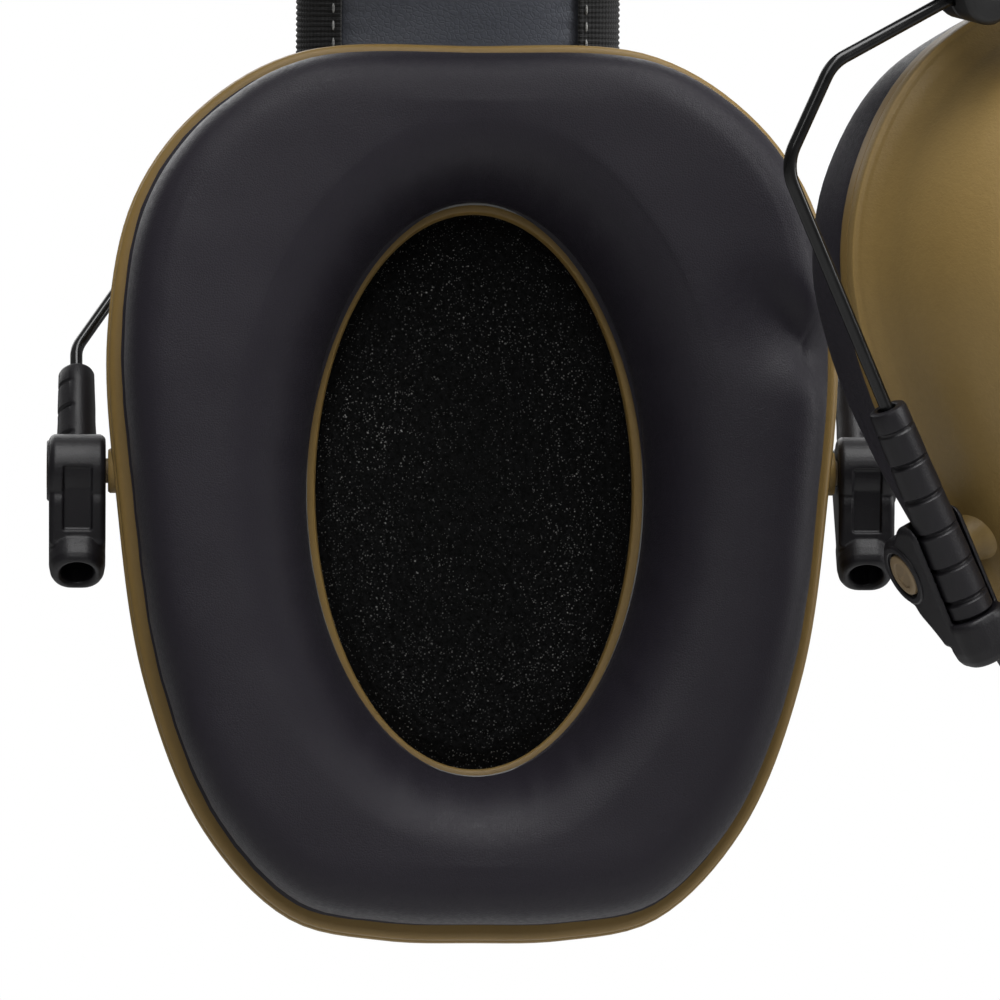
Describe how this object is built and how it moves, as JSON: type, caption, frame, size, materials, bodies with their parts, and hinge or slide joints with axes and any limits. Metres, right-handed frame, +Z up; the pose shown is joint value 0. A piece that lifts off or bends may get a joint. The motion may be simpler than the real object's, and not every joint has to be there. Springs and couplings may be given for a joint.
{
  "type": "earmuff hearing protector",
  "caption": "Low-profile earmuff: two hinged, sliding ear cups with soft cushions on bent wire yokes and a padded twisting sprung headband.",
  "frame": {"origin": "middle of the wearer's head at ear level, midway between the two hinge crossbars of the straight headband", "axes": "+X from the left cup to the right cup, +Y to the rear, +Z up through the crown of the headband"},
  "size_m": [0.1486, 0.1875, 0.1992],
  "materials": {
    "coyote_shell": "fine matt moulding grain, coyote brown",
    "coyote_plate": "semi-matt coyote brown",
    "coyote_pin": "semi-matt coyote brown",
    "cushion_leather": "soft black artificial leather, satin",
    "black_plastic": "fine matt black",
    "foam": "open-cell acoustic foam, black",
    "pad_leather": "grey-black artificial leather",
    "cover_fabric": "black woven cover",
    "binding_webbing": "black ribbed webbing, light grey stitches",
    "spring_steel": "bright spring steel",
    "black_steel": "black oxide steel wire",
    "arm_plastic": "charcoal, satin",
    "bush_plastic": "natural nylon"
  },
  "bodies": {
    "headband": {"headband_inner_pad": "pad_leather", "headband_outer_cover": "cover_fabric", "front_edge_binding": "binding_webbing", "rear_edge_binding": "binding_webbing", "front_spring_wire": "spring_steel", "rear_spring_wire": "spring_steel", "left_hinge_block_inner": "black_plastic", "left_hinge_block_outer": "black_plastic", "left_block_screw_a": "spring_steel", "left_block_screw_b": "spring_steel"},
    "right_end": {"right_hinge_block_inner": "black_plastic", "right_hinge_block_outer": "black_plastic", "right_block_screw_a": "spring_steel", "right_block_screw_b": "spring_steel"},
    "left_yoke": {"left_yoke_wire": "black_steel", "left_front_wire_stop": "spring_steel", "left_rear_wire_stop": "spring_steel"},
    "left_carriage": {"left_front_arm_housing": "arm_plastic", "left_front_grooved_sleeve": "arm_plastic", "left_front_friction_bush": "bush_plastic", "left_rear_arm_housing": "arm_plastic", "left_rear_grooved_sleeve": "arm_plastic", "left_rear_friction_bush": "bush_plastic"},
    "left_cup": {"left_cup_shell": "coyote_shell", "left_face_plate": "coyote_plate", "left_cushion_snap_plate": "black_plastic", "left_ear_cushion": "cushion_leather", "left_foam_insert": "foam", "left_cup_liner": "foam", "left_front_pivot_pin": "coyote_pin", "left_rear_pivot_pin": "coyote_pin"},
    "right_yoke": {"right_yoke_wire": "black_steel", "right_front_wire_stop": "spring_steel", "right_rear_wire_stop": "spring_steel"},
    "right_carriage": {"right_front_arm_housing": "arm_plastic", "right_front_grooved_sleeve": "arm_plastic", "right_front_friction_bush": "bush_plastic", "right_rear_arm_housing": "arm_plastic", "right_rear_grooved_sleeve": "arm_plastic", "right_rear_friction_bush": "bush_plastic"},
    "right_cup": {"right_cup_shell": "coyote_shell", "right_face_plate": "coyote_plate", "right_cushion_snap_plate": "black_plastic", "right_ear_cushion": "cushion_leather", "right_foam_insert": "foam", "right_cup_liner": "foam", "right_front_pivot_pin": "coyote_pin", "right_rear_pivot_pin": "coyote_pin"}
  },
  "joints": [
    {"name": "headband_twist", "type": "hinge", "parent": "headband", "child": "right_end", "pos_m": [0.0201, -0.0361, 0.1519], "axis": [0.6768, 0.5, 0.5403], "range_deg": [-45, 5], "stiffness_Nm_per_rad": 2.5, "deforming": ["headband_inner_pad", "headband_outer_cover", "front_edge_binding", "rear_edge_binding", "front_spring_wire", "rear_spring_wire"]},
    {"name": "left_fold", "type": "hinge", "parent": "headband", "child": "left_yoke", "pos_m": [-0.0944, 0, 0.03833], "axis": [0, -1, 0], "range_deg": [-45, 25]},
    {"name": "left_slide", "type": "slide", "parent": "left_yoke", "child": "left_carriage", "axis": [-0.5736, 0, 0.8192], "range_m": [-0.015, 0.002]},
    {"name": "left_tilt", "type": "hinge", "parent": "left_carriage", "child": "left_cup", "pos_m": [-0.06059, 0, -0.00001], "axis": [0, 1, 0], "range_deg": [-25, 25]},
    {"name": "right_fold", "type": "hinge", "parent": "right_end", "child": "right_yoke", "pos_m": [0.03142, 0.066, 0.05614], "axis": [-0.2635, 0.8353, 0.4825], "range_deg": [-6, 30]},
    {"name": "right_slide", "type": "slide", "parent": "right_yoke", "child": "right_carriage", "axis": [0.3146, -0.3984, 0.8616], "range_m": [-0.008, 0.006]},
    {"name": "right_tilt", "type": "hinge", "parent": "right_carriage", "child": "right_cup", "pos_m": [0.00804, 0.08687, 0.00724], "axis": [0.2635, -0.8353, -0.4825], "range_deg": [-15, 35]}
  ]
}
